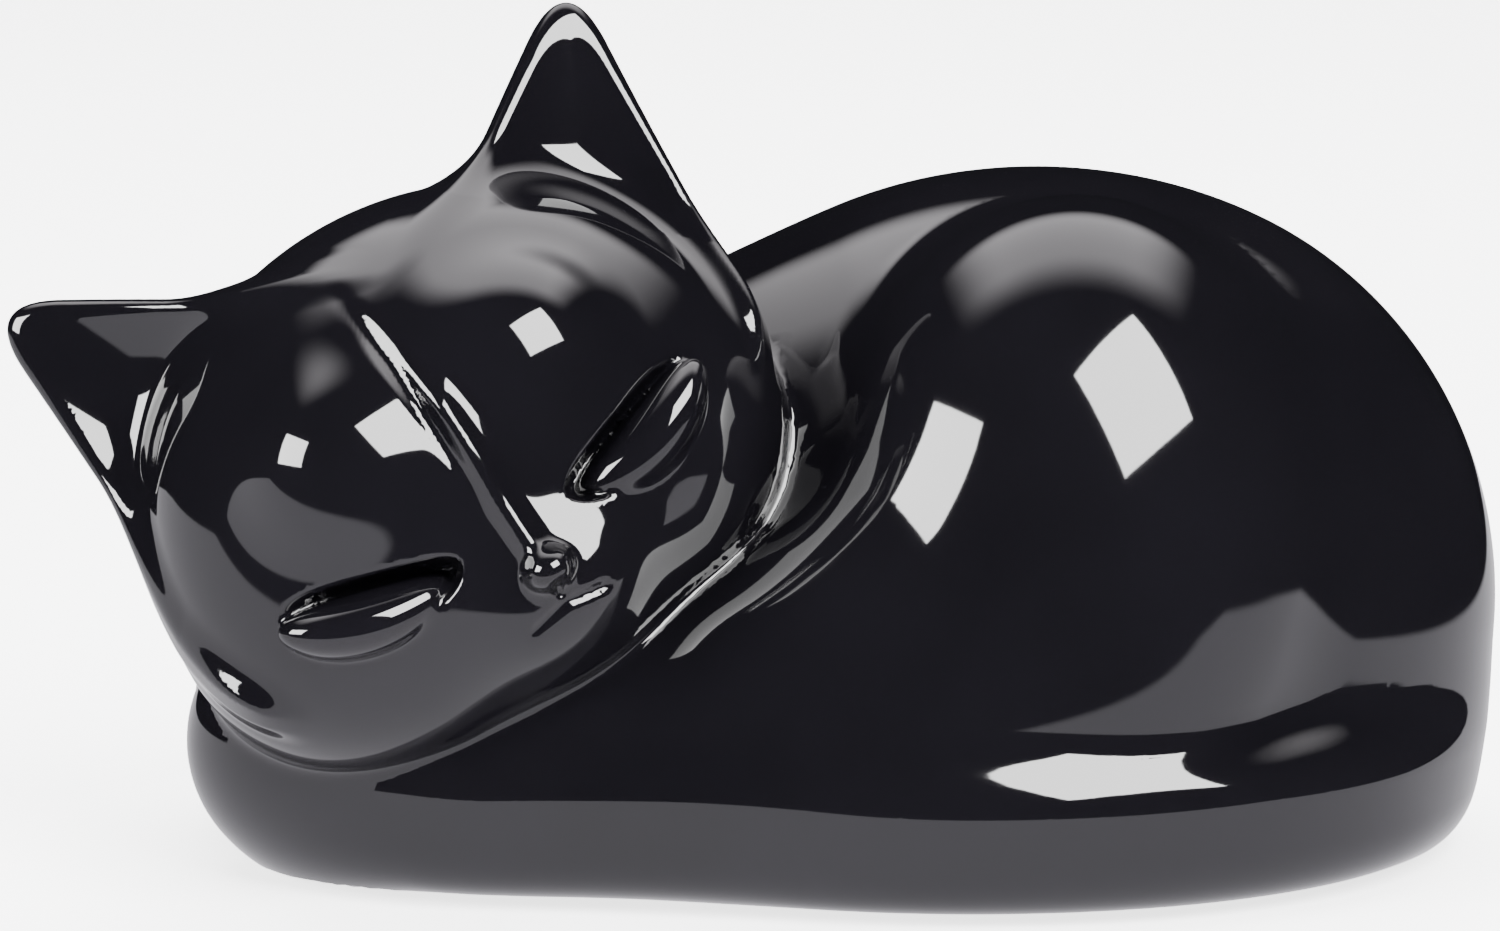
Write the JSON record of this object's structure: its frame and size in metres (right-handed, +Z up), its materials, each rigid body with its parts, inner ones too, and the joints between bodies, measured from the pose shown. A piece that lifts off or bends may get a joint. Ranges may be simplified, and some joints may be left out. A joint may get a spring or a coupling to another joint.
{
  "type": "figurine",
  "caption": "Sleeping cat curled with its chin on its hind foot: a hollow glossy ceramic ornament that rests on felt pads.",
  "frame": {"origin": "middle of the overall box, on the plane the felt pads stand on", "axes": "+Z up, -Y the side the face looks to, +X towards the rump"},
  "size_m": [0.1593, 0.0943, 0.0921],
  "materials": {
    "glaze": "glossy black glaze",
    "felt": "dark grey pressed felt"
  },
  "bodies": {
    "root": {"body": "glaze", "head": "glaze", "ear_left": "glaze", "ear_right": "glaze", "hind_leg": "glaze", "tail": "glaze", "forepaws": "glaze", "felt_pad_front_left": "felt", "felt_pad_back_left": "felt", "felt_pad_front_right": "felt", "felt_pad_back_right": "felt"}
  },
  "joints": []
}
